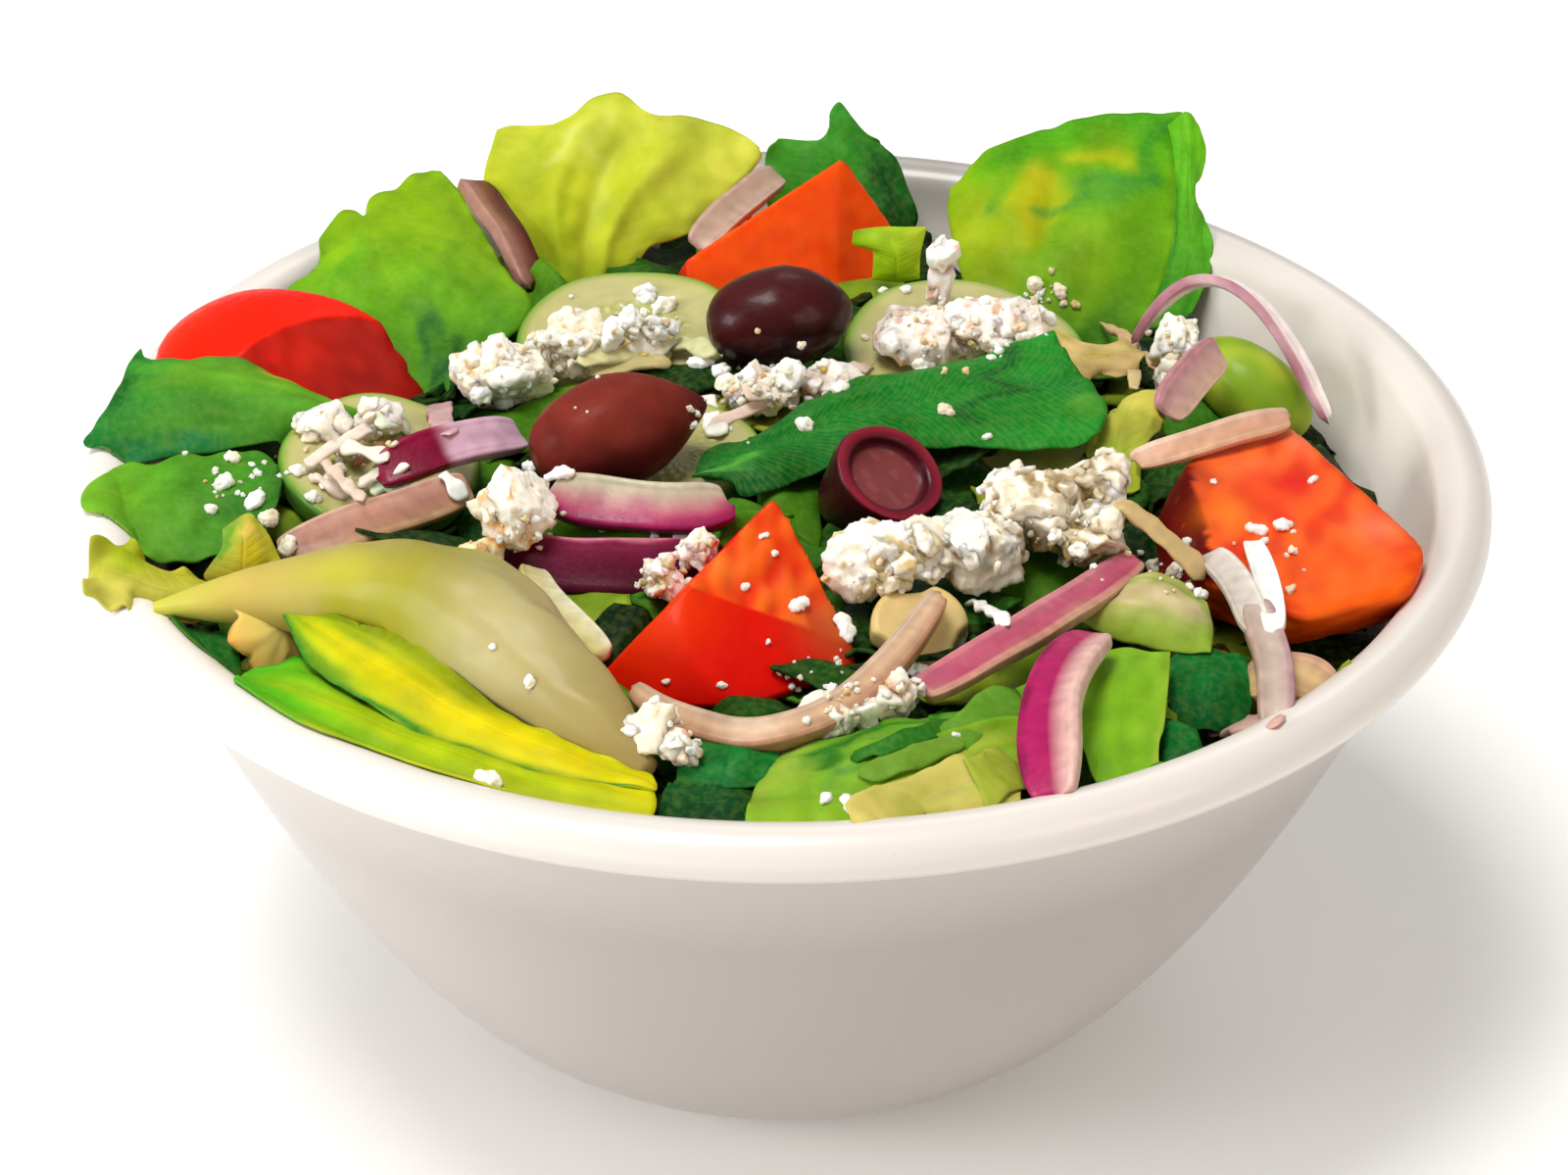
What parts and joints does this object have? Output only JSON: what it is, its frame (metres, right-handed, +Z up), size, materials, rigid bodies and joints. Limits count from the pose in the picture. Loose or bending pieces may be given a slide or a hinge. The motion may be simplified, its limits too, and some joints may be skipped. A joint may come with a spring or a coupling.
{
  "type": "greek salad in a bowl",
  "caption": "Greek salad heaped to the rim of a round white bowl: romaine with tomato, olives, a pepperoncino, cucumber, red onion and feta.",
  "frame": {"origin": "centre of the foot's base, on the surface that the bowl stands on", "axes": "+Z up along the bowl's axis; -Y towards the eater, the side with the pepperoncino's tip; +X to the eater's right"},
  "size_m": [0.2092, 0.2098, 0.1101],
  "materials": {
    "glaze": "glossy warm white glaze",
    "lettuce": "fresh romaine leaf, from yellow-green to dark green",
    "tomato": "smooth red skin and wet cut flesh",
    "olive_brown": "oily brown-maroon kalamata skin",
    "olive_black": "oily black-maroon kalamata skin",
    "pepperoncino": "pickled, pale and translucent",
    "cucumber": "wet pale flesh in a dark green rim",
    "onion_purple": "wet purple layer",
    "onion_pale": "wet pinkish-white layer",
    "feta": "crumbly white cheese",
    "green_pepper": "smooth light green skin"
  },
  "bodies": {
    "root": {"bowl": "glaze", "cucumber_back_left": "cucumber", "cucumber_back_right": "cucumber", "cucumber_front": "cucumber", "cucumber_left": "cucumber", "cucumber_middle": "cucumber", "feta_back_left": "feta", "feta_back_right": "feta", "feta_by_tomato": "feta", "feta_centre": "feta", "feta_cube": "feta", "feta_far_right": "feta", "feta_front": "feta", "feta_front_left": "feta", "feta_front_right": "feta", "feta_left": "feta", "feta_middle": "feta", "feta_right": "feta", "feta_shard": "feta", "green_pepper": "green_pepper", "lettuce_heap": "lettuce", "olive_black": "olive_black", "olive_brown": "olive_brown", "olive_half": "olive_brown", "onion_arch": "onion_pale", "onion_back": "onion_pale", "onion_back_left": "onion_pale", "onion_by_pepper": "onion_pale", "onion_curl": "onion_pale", "onion_front_long": "onion_purple", "onion_front_short": "onion_purple", "onion_left": "onion_purple", "onion_left_low": "onion_pale", "onion_middle": "onion_purple", "onion_middle_top": "onion_purple", "onion_right": "onion_pale", "onion_right_chip": "onion_pale", "onion_right_top": "onion_pale", "onion_rim_right": "onion_pale", "pepperoncino": "pepperoncino", "tomato_back": "tomato", "tomato_front": "tomato", "tomato_left": "tomato", "tomato_right": "tomato"}
  },
  "joints": []
}
